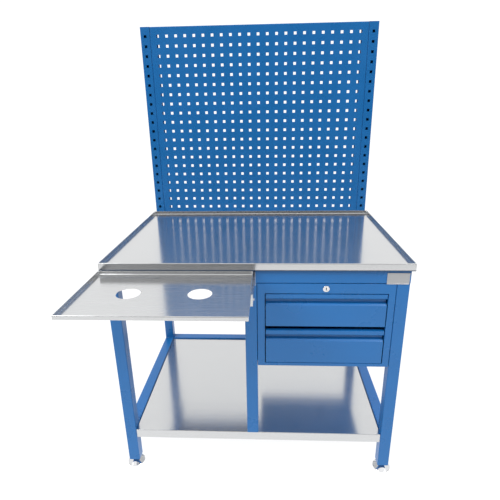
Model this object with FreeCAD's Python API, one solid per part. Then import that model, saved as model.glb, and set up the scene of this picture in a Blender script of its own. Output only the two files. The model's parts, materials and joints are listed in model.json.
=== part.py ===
import FreeCAD, Part
import math
import os

# Jewellers' bench: square-tube frame, stainless worktop, pull-out tray, two-drawer
# cabinet, lower shelf and a perforated tool panel between two uprights.
# Millimetres. X to the right, Y to the back, Z up. The origin is on the floor, in the
# middle of the bench's outline with the tray pulled out.

# ------------------------------------------------------------------ driving sizes
# Worktop
worktop_width = 1000.0
worktop_depth = 690.0
worktop_height = 832.0       # top of the rim above the floor
worktop_lip = 22.0           # height of the outer edge
worktop_base = 3.0           # painted plate under the worktop
worktop_rim = 4.0            # width of the raised rim
worktop_recess = 13.0        # depth of the work surface below the rim
worktop_overhang = 10.0      # past the frame, at the front and both sides
steel_skin = 1.2             # stainless sheet of worktop, tray and shelf
skin_bend = 2.0              # outer radius of its folded edges
floor_bend = 2.0             # inner radius between a rim's wall and the floor inside it

# Square-tube frame
tube = 40.0
tube_wall = 2.0
tube_corner = 3.0
leg_lift = 22.0              # lower end of the legs above the floor
riser_height = 46.0          # tubes between the leg tops and the worktop
lower_rail_top = 170.0
bearer_side = 30.0           # smaller tube under the shelf
bearer_wall = 1.5

# Levelling feet
foot_disc_radius = 31.5
foot_disc_edge = 2.2
foot_hub_radius = 11.0
foot_hub_top = 13.0
foot_stem_radius = 5.0
foot_stem_length = 60.0
foot_hex_flats = 14.0
foot_nut_height = 6.0
foot_nut_flats = 17.0
running_gap = 0.05           # radial, turning stem or barrel in its bore
plug_height = 30.0

# Lower shelf
shelf_top = 164.0
shelf_lip = 34.0
shelf_gap = 1.0              # to the frame, all round

# Pull-out tray
tray_depth = 300.0
tray_travel = 300.0
tray_right = -4.0            # right edge of the tray
tray_overhang = 1.5          # past the worktop's left edge
tray_lip = 12.0
tray_rim = 2.8
tray_gap = 0.5               # below the worktop's base plate
tray_hole_radius = 35.0
tray_hole_offset = 103.0     # from the tray's middle, to each side
tray_hole_set_back = 154.0   # hole centres behind the tray's front edge
tray_bracket_flange = 30.0
tray_bracket_set_in = 8.0    # bracket's back end inside the tray's back edge
tray_bracket_step = 3.0      # bracket's front end behind the middle slide member's
tray_bracket_sheet = 1.5
tray_slide_drop = 19.0       # right slide's centre line below the tray's lip
tray_slide_length = 300.0
tray_slide_set_back = 5.0    # slide ends behind the worktop's front edge
carrier_left_sheet = 2.0
carrier_left_drop = 36.0     # left carrier plate below the leg tops
carrier_right_sheet = 4.0
post_drop = 10.0             # middle post and rail end below the leg tops

# Three-part telescopic slides, sizes across one slide from its fixed side
slide_thickness = 12.7
slide_sheet = 1.2
slide_outer_height = 45.0
slide_outer_reach = 8.0
tray_outer_reach = 5.4       # shorter, to stay clear of the closed tray's edge
slide_middle_height = 36.6
slide_middle_set_in = 2.2
slide_middle_reach = 10.9
slide_inner_height = 27.6
slide_inner_set_in = 4.6
slide_lug_length = 2.0
slide_lug_height = 6.0
slide_lug_out = 2.6
tray_lug_out = 4.7           # reaches past the fixed face, to be pushed by a finger
slide_lug_gap = 0.5          # between the closed slide's lug and its outer member

# Drawer cabinet
cabinet_width = 441.0
cabinet_depth = 560.0
cabinet_gap = 1.5            # shadow gap to the post, the leg and the riser
cabinet_height = 306.5
cabinet_sheet = 1.0
face_sheet = 1.2
face_frame_depth = 20.0
face_return = 12.0           # depth of the folded edge round the drawer opening
face_left = 24.0             # widths of the front frame's four bands
face_right = 21.5
face_top = 34.5
face_bottom = 11.5
spacer_depth = 30.0          # depth of each upright spacer behind a drawer slide
spacer_set_in = 30.0

# Drawers
drawer_side_gap = 3.0
drawer_top_gap = 3.0
drawer_bottom_gap = 2.0
drawer_between_gap = 16.0
upper_front_height = 116.0
drawer_front_depth = 14.0
drawer_strip = 18.0          # height of the front's top strip
drawer_strip_curl = 4.0
drawer_grip = 16.0           # height of the finger groove under the strip
drawer_bevel = 6.0
drawer_back_gap = 60.0       # how much shorter than the cabinet the boxes and slides are
drawer_box_sheet = 1.0
drawer_box_lift = 6.0        # box above the front's lower edge
drawer_box_headroom = 26.0   # box below the front's top edge
drawer_slide_lift = 44.0     # slide's centre line above the front's lower edge
slide_play = 0.8             # slide to the edge of the opening

# Lock
lock_escutcheon_radius = 10.8
lock_escutcheon_proud = 2.0
lock_shank_radius = 9.0
lock_shank_length = 16.0
lock_barrel_radius = 6.5
lock_barrel_recess = 0.4
keyway_width = 2.6
keyway_height = 9.5
keyway_depth = 8.0
lock_nut_flats = 24.0
lock_nut_height = 4.0
cam_length = 27.0
cam_width = 12.0
cam_thickness = 2.0

# Name plate
plate_width = 70.0
plate_height = 38.5
plate_thickness = 1.0
plate_border = 3.0
plate_border_depth = 0.3
plate_right_margin = 4.0
plate_top_margin = 9.5

# Back panel
panel_height = 800.0
panel_sheet = 1.5
panel_depth = 20.0
panel_return = 27.0
panel_bend = 3.0
panel_gap = 0.4              # to each upright
panel_lift = 6.0             # lower edge above the top of the frame
hole_side = 11.0
hole_pitch = 38.0
hole_columns = 23
hole_rows = 20
hole_top_margin = 36.0       # first row below the panel's top
upright_depth = 40.0
upright_reach = 121.0        # uprights' lower ends below the leg tops
cap_thickness = 4.0

# Fasteners
bolt_radius = 4.0
bolt_length = 14.0
bolt_head_radius = 6.5
bolt_head_height = 6.0
bolt_washer_radius = 10.0
bolt_clearance = 0.2
access_radius = 8.0
screw_radius = 2.5
screw_length = 10.0
screw_head_radius = 5.0
screw_head_height = 2.5
clip_leg = 30.0              # angle clips between riser and worktop
clip_sheet = 3.0

# ---------------------------------------------------------------- derived places
half_width = worktop_width / 2
frame_side = half_width - worktop_overhang       # outer face of the legs
leg_inner = frame_side - tube                    # inner face of the legs
back_y = (worktop_depth + tray_travel - upright_depth) / 2
front_y = back_y - worktop_depth                 # worktop's front edge
frame_front = front_y + worktop_overhang
rail_front = frame_front + tube                  # space between front and back legs
rail_back = back_y - tube
worktop_under = worktop_height - worktop_lip     # lower edge of the worktop's lip
frame_top = worktop_under - worktop_base
leg_top = frame_top - riser_height
post_top = leg_top - post_drop
lower_rail_bottom = lower_rail_top - tube

post_right = leg_inner - cabinet_width - 2 * cabinet_gap
post_left = post_right - tube

tray_left = -half_width - tray_overhang
tray_top = frame_top - tray_gap
tray_bottom = tray_top - tray_lip
tray_front = front_y - tray_travel
tray_back = tray_front + tray_depth
tray_middle = (tray_left + tray_right) / 2
tray_slide_front = front_y + tray_slide_set_back
carrier_right_left = post_right - carrier_right_sheet
carrier_left_right = -leg_inner + carrier_left_sheet
right_slide_z = tray_bottom - tray_slide_drop
left_slide_z = tray_bottom - slide_outer_height / 2 - 1.0
middle_slide_share = 0.5     # how far a slide's middle member moves for its inner one
tray_middle_front = tray_slide_front - tray_travel * middle_slide_share
tray_bracket_front = tray_middle_front + tray_bracket_step
tray_bracket_length = tray_back - tray_bracket_set_in - tray_bracket_front

cabinet_left = post_right + cabinet_gap
cabinet_right = leg_inner - cabinet_gap
cabinet_top = leg_top - cabinet_gap
cabinet_bottom = cabinet_top - cabinet_height
cabinet_front = frame_front
cabinet_back = cabinet_front + cabinet_depth
shell_front = cabinet_front + face_frame_depth
opening_left = cabinet_left + face_left
opening_right = cabinet_right - face_right
opening_top = cabinet_top - face_top
opening_bottom = cabinet_bottom + face_bottom

drawer_left = opening_left + drawer_side_gap
drawer_right = opening_right - drawer_side_gap
upper_top = opening_top - drawer_top_gap
upper_bottom = upper_top - upper_front_height
lower_top = upper_bottom - drawer_between_gap
lower_bottom = opening_bottom + drawer_bottom_gap
box_left = opening_left + slide_play + slide_thickness
box_right = opening_right - slide_play - slide_thickness
box_front = cabinet_front + drawer_front_depth + face_sheet
drawer_length = cabinet_depth - drawer_back_gap
lock_x = (cabinet_left + cabinet_right) / 2
lock_z = (cabinet_top + opening_top) / 2

panel_bottom = frame_top + panel_lift
panel_top = panel_bottom + panel_height
upright_bottom = leg_top - upright_reach


# ------------------------------------------------------------------------ helpers
def vec(x, y, z):
    return FreeCAD.Vector(x, y, z)


def box(x0, x1, y0, y1, z0, z1):
    """Block between two opposite corners."""
    return Part.makeBox(x1 - x0, y1 - y0, z1 - z0, vec(x0, y0, z0))


def cylinder(radius, start, axis, length):
    return Part.makeCylinder(radius, length, start, axis)


def edges_along(shape, axis, tests):
    """Straight edges parallel to an axis whose middle passes every (axis, value) test."""
    found = []
    for edge in shape.Edges:
        run = edge.Vertexes[-1].Point - edge.Vertexes[0].Point
        if abs(abs(run[axis]) - run.Length) > 1e-6:
            continue
        middle = edge.CenterOfMass
        if all(abs(middle[where] - value) < 1e-6 for where, value in tests):
            found.append(edge)
    return found


def rounded_block(x0, x1, y0, y1, z0, z1, radius, axis):
    """Block whose four edges along one axis are rounded."""
    block = box(x0, x1, y0, y1, z0, z1)
    return block.makeFillet(radius, edges_along(block, axis, []))


def square_tube(x0, x1, y0, y1, z0, z1, axis, wall=tube_wall, corner=tube_corner):
    """Open-ended rectangular tube along axis 0, 1 or 2."""
    outside = rounded_block(x0, x1, y0, y1, z0, z1, corner, axis)
    inset = [wall, wall, wall]
    inset[axis] = 0.0
    bore = rounded_block(x0 + inset[0], x1 - inset[0], y0 + inset[1], y1 - inset[1],
                         z0 + inset[2], z1 - inset[2], corner - wall / 2, axis)
    return outside.cut(bore)


def offset_line(points, distance):
    """Points of a polyline moved sideways to its left, with mitred corners."""
    moved = []
    last = len(points) - 1
    for index, point in enumerate(points):
        normals = []
        for first, second in ((index - 1, index), (index, index + 1)):
            if first < 0 or second > last:
                continue
            run_a = points[second][0] - points[first][0]
            run_b = points[second][1] - points[first][1]
            length = math.hypot(run_a, run_b)
            normals.append((-run_b / length, run_a / length))
        sum_a = sum(normal[0] for normal in normals)
        sum_b = sum(normal[1] for normal in normals)
        dot = sum_a * normals[0][0] + sum_b * normals[0][1]
        moved.append((point[0] + distance * sum_a / dot, point[1] + distance * sum_b / dot))
    return moved


def folded_sheet(points, sheet, place, run):
    """Sheet folded along a polyline of (a, b) points and extruded; place maps a, b to 3D."""
    outline = points + offset_line(points, sheet)[::-1]
    corners = [place(a, b) for a, b in outline]
    wire = Part.makePolygon(corners + [corners[0]])
    return Part.Face(wire).extrude(run)


def hex_prism(flats, start, height):
    """Upright hexagonal block with a given width across flats."""
    reach = flats / math.sqrt(3)
    corners = [start + vec(reach * math.cos(math.radians(60 * k)),
                           reach * math.sin(math.radians(60 * k)), 0) for k in range(7)]
    return Part.Face(Part.makePolygon(corners)).extrude(vec(0, 0, height))


def pan(x0, x1, y0, y1, top, lip, rim, recess):
    """Folded sheet top with a turned-down lip and, if recess is above 0, a sunk middle."""
    block = box(x0, x1, y0, y1, top - lip, top)
    folds = edges_along(block, 2, [])
    folds += edges_along(block, 0, [(2, top)])
    folds += edges_along(block, 1, [(2, top)])
    block = block.makeFillet(skin_bend, folds)
    hollow = box(x0 + steel_skin, x1 - steel_skin, y0 + steel_skin, y1 - steel_skin,
                 top - lip, top - steel_skin)
    if recess <= 0:
        return block.cut(hollow)
    wall = rim - steel_skin
    floor_sheet = box(x0 + wall, x1 - wall, y0 + wall, y1 - wall, top - recess - steel_skin, top)
    sunk = box(x0 + rim, x1 - rim, y0 + rim, y1 - rim, top - recess, top)
    folded = block.cut(hollow.cut(floor_sheet)).cut(sunk)
    folded = folded.makeFillet(floor_bend, pocket_edges(folded, x0, x1, y0, y1, rim, top - recess))
    return folded.makeFillet(steel_skin / 2, pocket_edges(folded, x0, x1, y0, y1, rim, top))


def pocket_edges(shape, x0, x1, y0, y1, rim, z):
    """The four edges of a pan's sunk middle at one height."""
    edges = []
    for y in (y0 + rim, y1 - rim):
        edges += edges_along(shape, 0, [(2, z), (1, y)])
    for x in (x0 + rim, x1 - rim):
        edges += edges_along(shape, 1, [(2, z), (0, x)])
    return edges


def save(name, shapes):
    """Write one node: a single solid, or a group of separate solids."""
    solids = [solid for shape in shapes for solid in shape.Solids]
    whole = solids[0] if len(solids) == 1 else Part.makeCompound(solids)
    whole.exportStep("parts/" + name + ".step")


# -------------------------------------------------------------------------- frame
def leg_places():
    """Name and lower-left corner of each leg."""
    return [("front_left", -frame_side, frame_front), ("front_right", leg_inner, frame_front),
            ("back_left", -frame_side, rail_back), ("back_right", leg_inner, rail_back)]


def upright_bolt_heights():
    """Three bolts fix each upright: two into the back leg, one into the back riser."""
    return [upright_bottom + tube, leg_top - tube / 2, leg_top + riser_height / 2]


def through_y(x, z, radius, y0, y1):
    return cylinder(radius, vec(x, y0, z), vec(0, 1, 0), y1 - y0)


def through_x(y, z, radius, x0, x1):
    return cylinder(radius, vec(x0, y, z), vec(1, 0, 0), x1 - x0)


def make_legs():
    for name, x0, y0 in leg_places():
        leg = square_tube(x0, x0 + tube, y0, y0 + tube, leg_lift, leg_top, 2)
        if name.startswith("back"):
            for z in upright_bolt_heights()[:2]:
                leg = leg.cut(through_y(x0 + tube / 2, z, bolt_radius + bolt_clearance,
                                        back_y - tube_wall, back_y))
        save(name + "_leg", [leg])


def cabinet_bolt_places():
    """Y and Z of the bolts that hang the cabinet between the two upper rails."""
    z = (post_top + leg_top) / 2 - tube / 2
    return [(cabinet_front + share * cabinet_depth, z) for share in (0.25, 0.85)]


def cut_bolts_x(shape, x0, x1):
    for y, z in cabinet_bolt_places():
        shape = shape.cut(through_x(y, z, bolt_radius + bolt_clearance, x0, x1))
    return shape


def make_rails():
    post = square_tube(post_left, post_right, frame_front, rail_front, shelf_top, post_top, 2)
    save("middle_post", [post])
    lower = (lower_rail_bottom, lower_rail_top)
    upper = (leg_top - tube, leg_top)
    save("lower_side_rails", [square_tube(x, x + tube, rail_front, rail_back, *lower, 1)
                              for x in (-frame_side, leg_inner)])
    save("lower_back_rail", [square_tube(-leg_inner, leg_inner, rail_back, back_y, *lower, 0)])
    save("upper_left_rail", [square_tube(-frame_side, -leg_inner, rail_front, rail_back, *upper, 1)])
    right = square_tube(leg_inner, frame_side, rail_front, rail_back, *upper, 1)
    save("upper_right_rail", [cut_bolts_x(right, leg_inner, leg_inner + tube_wall)])
    save("upper_back_rail", [square_tube(-leg_inner, leg_inner, rail_back, back_y, *upper, 0)])
    middle = square_tube(post_left, post_right, rail_front, rail_back, post_top - tube, post_top, 1)
    save("upper_middle_rail", [cut_bolts_x(middle, post_right - tube_wall, post_right)])


def bearer_places():
    """Left edges of the three bearers that carry the shelf."""
    inset = shelf_gap + steel_skin
    middle = (post_left + post_right - bearer_side) / 2
    return [-leg_inner + inset, middle, leg_inner - inset - bearer_side]


def make_shelf():
    """Shelf pan on a front rail and three bearers, its lips notched where they pass through."""
    top = shelf_top - steel_skin
    beam_front = frame_front + shelf_gap + steel_skin
    beam_back = beam_front + bearer_side
    low = top - bearer_side
    beam = square_tube(-leg_inner, leg_inner, beam_front, beam_back, low, top, 0, bearer_wall)
    save("lower_front_rail", [beam])
    bearers = [square_tube(x, x + bearer_side, beam_back, rail_back, low, top, 1, bearer_wall)
               for x in bearer_places()]
    save("shelf_bearers", bearers)
    shelf = pan(-leg_inner + shelf_gap, leg_inner - shelf_gap, frame_front + shelf_gap,
                rail_back - shelf_gap, shelf_top, shelf_lip, 0, 0)
    lip_low = shelf_top - shelf_lip
    shelf = shelf.cut(box(-leg_inner, leg_inner, beam_front, beam_back, lip_low, top))
    for x in bearer_places():
        shelf = shelf.cut(box(x, x + bearer_side, beam_back, rail_back, lip_low, top))
    save("shelf_pan", [shelf])


def make_risers():
    heights = (leg_top, frame_top)
    front = square_tube(post_right, frame_side, frame_front, rail_front, *heights, 0)
    front = cut_clip_screws(front, frame_front)
    save("front_riser", [front])
    back = square_tube(-frame_side, frame_side, rail_back, back_y, *heights, 0)
    for side in (-1, 1):
        back = back.cut(through_y(side * (leg_inner + tube / 2), upright_bolt_heights()[2],
                                  bolt_radius + bolt_clearance, back_y - tube_wall, back_y))
    back = cut_clip_screws(back, rail_back)
    save("back_riser", [back])
    save("right_riser", [square_tube(leg_inner, frame_side, rail_front, rail_back, *heights, 1)])
    closed_back = front_y + tray_depth + worktop_overhang
    save("left_riser", [square_tube(-frame_side, -leg_inner, closed_back, rail_back, *heights, 1)])


def make_carriers():
    """Plates that hold the fixed members of the tray's slides."""
    right = box(carrier_right_left, post_right, frame_front, rail_back, post_top, frame_top)
    save("right_slide_carrier", [right])
    left = box(-leg_inner, carrier_left_right, frame_front, tray_slide_front + tray_slide_length,
               leg_top - carrier_left_drop, tray_bottom - 1.0)
    save("left_slide_carrier", [left])


# --------------------------------------------------------------------------- feet
def make_feet():
    plugs = []
    nuts = []
    for name, x0, y0 in leg_places():
        centre_x = x0 + tube / 2
        centre_y = y0 + tube / 2
        bore = cylinder(foot_stem_radius + running_gap, vec(centre_x, centre_y, 0), vec(0, 0, 1),
                        leg_lift + plug_height)
        inset = tube_wall
        plug = rounded_block(x0 + inset, x0 + tube - inset, y0 + inset, y0 + tube - inset,
                             leg_lift, leg_lift + plug_height, tube_corner - tube_wall / 2, 2)
        plugs.append(plug.cut(bore))
        nut = hex_prism(foot_nut_flats, vec(centre_x, centre_y, leg_lift - foot_nut_height),
                        foot_nut_height)
        nuts.append(nut.cut(bore))
        save("foot_" + name, [foot(centre_x, centre_y)])
    save("leg_plugs", plugs)
    save("foot_lock_nuts", nuts)


def foot(x, y):
    """Pressed cone with a flat hub, hexagon and threaded stem."""
    outline = [(0, 0), (foot_disc_radius - 0.6, 0), (foot_disc_radius, 0.6),
               (foot_disc_radius, foot_disc_edge - 0.8), (foot_disc_radius - 0.8, foot_disc_edge),
               (foot_hub_radius, foot_hub_top - 0.8), (foot_hub_radius - 1.2, foot_hub_top),
               (0, foot_hub_top)]
    corners = [vec(x + radius, y, height) for radius, height in outline]
    disc = Part.Face(Part.makePolygon(corners + [corners[0]]))
    disc = disc.revolve(vec(x, y, 0), vec(0, 0, 1), 360)
    hexagon = hex_prism(foot_hex_flats, vec(x, y, foot_hub_top),
                        leg_lift - foot_nut_height - foot_hub_top - 0.5)
    stem = cylinder(foot_stem_radius, vec(x, y, foot_hub_top), vec(0, 0, 1), foot_stem_length)
    return disc.fuse([hexagon, stem]).removeSplitter()


# ------------------------------------------------------------------------ worktop
def clip_places():
    """X and the riser face of each worktop clip, and which way it reaches."""
    inner_left = post_right + 3 * tube
    inner_right = leg_inner - 2 * tube
    places = [(x, rail_front, 1) for x in (inner_left, inner_right)]
    places += [(x, rail_back, -1) for x in (-inner_right, inner_left, inner_right)]
    return places


def clip_screw_z():
    return frame_top - clip_leg + screw_head_radius + 3.0


def clip_screw_y(face, way):
    return face + way * (clip_leg - screw_head_radius - 3.0)


def cut_clip_screws(shape, tube_front):
    """Screw holes in a riser's face where the worktop clips bear on it."""
    for x, face, way in clip_places():
        if abs(face - tube_front) > tube + 1.0 or abs(face - tube_front) < -1.0:
            continue
        start = face - tube_wall if way > 0 else face
        shape = shape.cut(through_y(x, clip_screw_z(), screw_radius + bolt_clearance / 2,
                                    start, start + tube_wall))
    return shape


def make_worktop():
    save("worktop_skin", [pan(-half_width, half_width, front_y, back_y, worktop_height,
                              worktop_lip, worktop_rim, worktop_recess)])
    inset = steel_skin
    core_top = worktop_height - worktop_recess - steel_skin
    core = box(-half_width + inset, half_width - inset, front_y + inset, back_y - inset,
               worktop_under, core_top)
    base = rounded_block(-half_width, half_width, front_y, back_y, frame_top, worktop_under,
                         skin_bend, 2)
    clips = []
    screws = []
    for x, face, way in clip_places():
        clip = folded_sheet([(0, -clip_leg), (0, 0), (clip_leg, 0)], -clip_sheet,
                            lambda a, b: vec(x - clip_leg / 2, face + way * a, frame_top + b),
                            vec(clip_leg, 0, 0))
        side = through_y(x, clip_screw_z(), screw_radius + bolt_clearance / 2,
                         face - clip_leg, face + clip_leg)
        upper_y = clip_screw_y(face, way)
        upper = cylinder(screw_radius + bolt_clearance / 2, vec(x, upper_y, frame_top - clip_leg),
                         vec(0, 0, 1), clip_leg + screw_length)
        clips.append(clip.cut(side).cut(upper))
        core = core.cut(upper)
        base = base.cut(upper)
        screws.append(screw(vec(x, face + way * clip_sheet, clip_screw_z()), vec(0, way, 0)))
        screws.append(screw(vec(x, upper_y, frame_top - clip_sheet), vec(0, 0, -1)))
    save("worktop_core", [core])
    save("worktop_base_plate", [base])
    save("worktop_clips", clips)
    return screws


def screw(seat, out):
    """Small screw whose head sits at seat and points out."""
    shank = cylinder(screw_radius, seat, out * -1, screw_length)
    head = cylinder(screw_head_radius, seat, out, screw_head_height)
    return shank.fuse(head)


def bolt(seat, out):
    """Bolt whose head sits at seat and points out."""
    shank = cylinder(bolt_radius, seat, out * -1, bolt_length)
    head = cylinder(bolt_head_radius, seat, out, bolt_head_height)
    return shank.fuse(head)


# --------------------------------------------------------------------------- tray
def make_tray():
    deck = pan(tray_left, tray_right, tray_front, tray_back, tray_top, tray_lip, tray_rim,
               tray_lip - steel_skin)
    for side in (-1, 1):
        start = vec(tray_middle + side * tray_hole_offset, tray_front + tray_hole_set_back,
                    tray_bottom - 1.0)
        deck = deck.cut(cylinder(tray_hole_radius, start, vec(0, 0, 1), tray_lip + 2.0))
    save("tray_deck", [deck])
    save("tray_brackets", [tray_bracket(1), tray_bracket(-1)])


def slide_side(side):
    """Fixed face, direction to the tray and centre height of one tray slide."""
    if side > 0:
        return carrier_right_left, -1, right_slide_z
    return carrier_left_right, 1, left_slide_z


def tray_bracket(side):
    """Angle under the deck whose web carries the slide's inner member."""
    fixed, way, z = slide_side(side)
    web = fixed + way * slide_thickness
    low = z - slide_inner_height / 2 - 1.0
    points = [(0, low), (0, tray_bottom), (tray_bracket_flange, tray_bottom)]
    return folded_sheet(points, -tray_bracket_sheet,
                        lambda a, b: vec(web + way * a, tray_bracket_front, b),
                        vec(0, tray_bracket_length, 0))


def slide_member(kind, fixed, way, z, y0, length, outer_reach=slide_outer_reach,
                 lug_out=slide_lug_out):
    """Channel of one telescopic slide: outer, middle or inner member."""
    if kind == "outer":
        half = slide_outer_height / 2
        points = [(outer_reach, half), (0, half), (0, -half), (outer_reach, -half)]
        sheet = slide_sheet
    elif kind == "middle":
        half = slide_middle_height / 2
        points = [(slide_middle_reach, half), (slide_middle_set_in, half),
                  (slide_middle_set_in, -half), (slide_middle_reach, -half)]
        sheet = slide_sheet
    else:
        half = slide_inner_height / 2
        points = [(slide_inner_set_in, half), (slide_thickness, half),
                  (slide_thickness, -half), (slide_inner_set_in, -half)]
        sheet = -slide_sheet
    member = folded_sheet(points, sheet, lambda a, b: vec(fixed + way * a, y0, z + b),
                          vec(0, length, 0))
    if kind == "middle":
        edge = fixed + way * slide_middle_set_in
        lug_x = sorted((edge + way * slide_sheet / 2, edge - way * lug_out))
        member = member.fuse(box(lug_x[0], lug_x[1], y0, y0 + slide_lug_length,
                                 z, z + slide_lug_height))
    return member


def outer_start(middle_start):
    """Front end of a slide's outer member, just behind the closed middle member's lug."""
    return middle_start + slide_lug_length + slide_lug_gap


def make_tray_slides():
    groups = {"outer": [], "middle": [], "inner": []}
    for side in (-1, 1):
        fixed, way, z = slide_side(side)
        groups["outer"].append(slide_member("outer", fixed, way, z, outer_start(tray_slide_front),
                                            tray_slide_length, outer_reach=tray_outer_reach))
        groups["middle"].append(slide_member("middle", fixed, way, z, tray_middle_front,
                                             tray_slide_length, lug_out=tray_lug_out))
        groups["inner"].append(slide_member("inner", fixed, way, z, tray_bracket_front,
                                            tray_bracket_length))
    for kind, members in groups.items():
        save("tray_slide_" + kind + "s", members)


# ------------------------------------------------------------------------ cabinet
def make_cabinet():
    shell = box(cabinet_left, cabinet_right, shell_front, cabinet_back - cabinet_sheet,
                cabinet_bottom, cabinet_top)
    inside = box(cabinet_left + cabinet_sheet, cabinet_right - cabinet_sheet, shell_front,
                 cabinet_back, cabinet_bottom + cabinet_sheet, cabinet_top - cabinet_sheet)
    shell = cut_bolts_x(shell.cut(inside), cabinet_left, cabinet_right)
    save("cabinet_shell", [shell])
    save("cabinet_back", [box(cabinet_left, cabinet_right, cabinet_back - cabinet_sheet,
                              cabinet_back, cabinet_bottom, cabinet_top)])
    save("cabinet_face_frame", [face_frame()])
    save("cabinet_slide_spacers", slide_spacers())
    save("cabinet_and_upright_bolts", cabinet_bolts() + upright_bolts())


def face_frame():
    """Folded front: outer edges turned back to the shell, opening edges turned in."""
    t = face_sheet
    outside = rounded_front(cabinet_left, cabinet_right, cabinet_bottom, cabinet_top,
                            face_frame_depth)
    behind = box(cabinet_left + t, cabinet_right - t, cabinet_front + t, shell_front,
                 cabinet_bottom + t, cabinet_top - t)
    edge = box(opening_left - t, opening_right + t, cabinet_front, cabinet_front + face_return,
               opening_bottom - t, opening_top + t)
    opening = box(opening_left, opening_right, cabinet_front, shell_front,
                  opening_bottom, opening_top)
    frame = outside.cut(behind.cut(edge)).cut(opening)
    hole = through_y(lock_x, lock_z, lock_shank_radius + running_gap, cabinet_front,
                     cabinet_front + face_sheet)
    return frame.cut(hole)


def rounded_front(x0, x1, z0, z1, depth):
    """Block whose front edges have the small radius of folded sheet."""
    block = box(x0, x1, cabinet_front, cabinet_front + depth, z0, z1)
    edges = edges_along(block, 0, [(1, cabinet_front)])
    edges += edges_along(block, 2, [(1, cabinet_front)])
    return block.makeFillet(face_sheet * 0.8, edges)


def slide_spacers():
    """Four upright channels that bring the drawer slides in to the edge of the opening."""
    low = cabinet_bottom + cabinet_sheet
    high = cabinet_top - cabinet_sheet
    front = shell_front + spacer_set_in
    back = front + drawer_length - 2 * spacer_depth - spacer_set_in
    spacers = []
    for y in (front, back):
        for wall, inner, way in ((cabinet_left + cabinet_sheet, opening_left + slide_play, 1),
                                 (cabinet_right - cabinet_sheet, opening_right - slide_play, -1)):
            reach = abs(inner - wall)
            points = [(0, 0), (reach, 0), (reach, spacer_depth), (0, spacer_depth)]
            spacers.append(folded_sheet(points, cabinet_sheet,
                                        lambda a, b: vec(wall + way * a, y + b, low),
                                        vec(0, 0, high - low)))
    return spacers


def cabinet_bolts():
    """Bolts with spacer washers, from inside the cabinet into the two upper rails."""
    bolts = []
    for y, z in cabinet_bolt_places():
        for inside, out in ((cabinet_left + cabinet_sheet, 1), (cabinet_right - cabinet_sheet, -1)):
            bolts.append(bolt(vec(inside, y, z), vec(out, 0, 0)))
            washer_x = inside - out * cabinet_sheet
            washer = cylinder(bolt_washer_radius, vec(washer_x, y, z), vec(-out, 0, 0), cabinet_gap)
            bore = cylinder(bolt_radius + bolt_clearance, vec(washer_x, y, z), vec(-out, 0, 0),
                            cabinet_gap)
            bolts.append(washer.cut(bore))
    return bolts


def upright_bolts():
    """Bolts whose heads sit inside the uprights, on their front walls."""
    bolts = []
    for side in (-1, 1):
        for z in upright_bolt_heights():
            seat = vec(side * (leg_inner + tube / 2), back_y + tube_wall, z)
            bolts.append(bolt(seat, vec(0, 1, 0)))
    return bolts


# ------------------------------------------------------------------------ drawers
def drawer_front(low, high):
    """Folded front: face, bevel, finger groove and top strip with a curled lower edge."""
    grip_low = high - drawer_strip - drawer_grip
    back = drawer_front_depth
    face_top = grip_low - drawer_bevel
    lower = [(back + face_sheet, low), (0, low), (0, face_top), (drawer_bevel, grip_low),
             (back, grip_low), (back, high)]
    upper = [(back + face_sheet, high), (0, high), (0, high - drawer_strip + drawer_strip_curl),
             (drawer_strip_curl, high - drawer_strip)]
    width = vec(drawer_right - drawer_left, 0, 0)
    sheet = folded_sheet(lower, -face_sheet, place_front, width)
    top = folded_sheet(upper, face_sheet, place_front, width)
    return sheet.fuse(top).removeSplitter()


def place_front(depth, height):
    return vec(drawer_left, cabinet_front + depth, height)


def drawer_box(low, high):
    """Open box: bottom, two sides, front and back in one folded sheet."""
    z0 = low + drawer_box_lift
    z1 = high - drawer_box_headroom
    t = drawer_box_sheet
    y1 = box_front + drawer_length
    outside = box(box_left, box_right, box_front, y1, z0, z1)
    return outside.cut(box(box_left + t, box_right - t, box_front + t, y1 - t, z0 + t, z1))


def make_drawer(name, low, high):
    save(name + "_drawer_front", [drawer_front(low, high)])
    save(name + "_drawer_box", [drawer_box(low, high)])
    z = low + drawer_slide_lift
    for kind in ("outer", "middle", "inner"):
        members = []
        start = outer_start(box_front) if kind == "outer" else box_front
        for fixed, way in ((opening_left + slide_play, 1), (opening_right - slide_play, -1)):
            members.append(slide_member(kind, fixed, way, z, start, drawer_length))
        save(name + "_drawer_slide_" + kind + "s", members)


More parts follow.
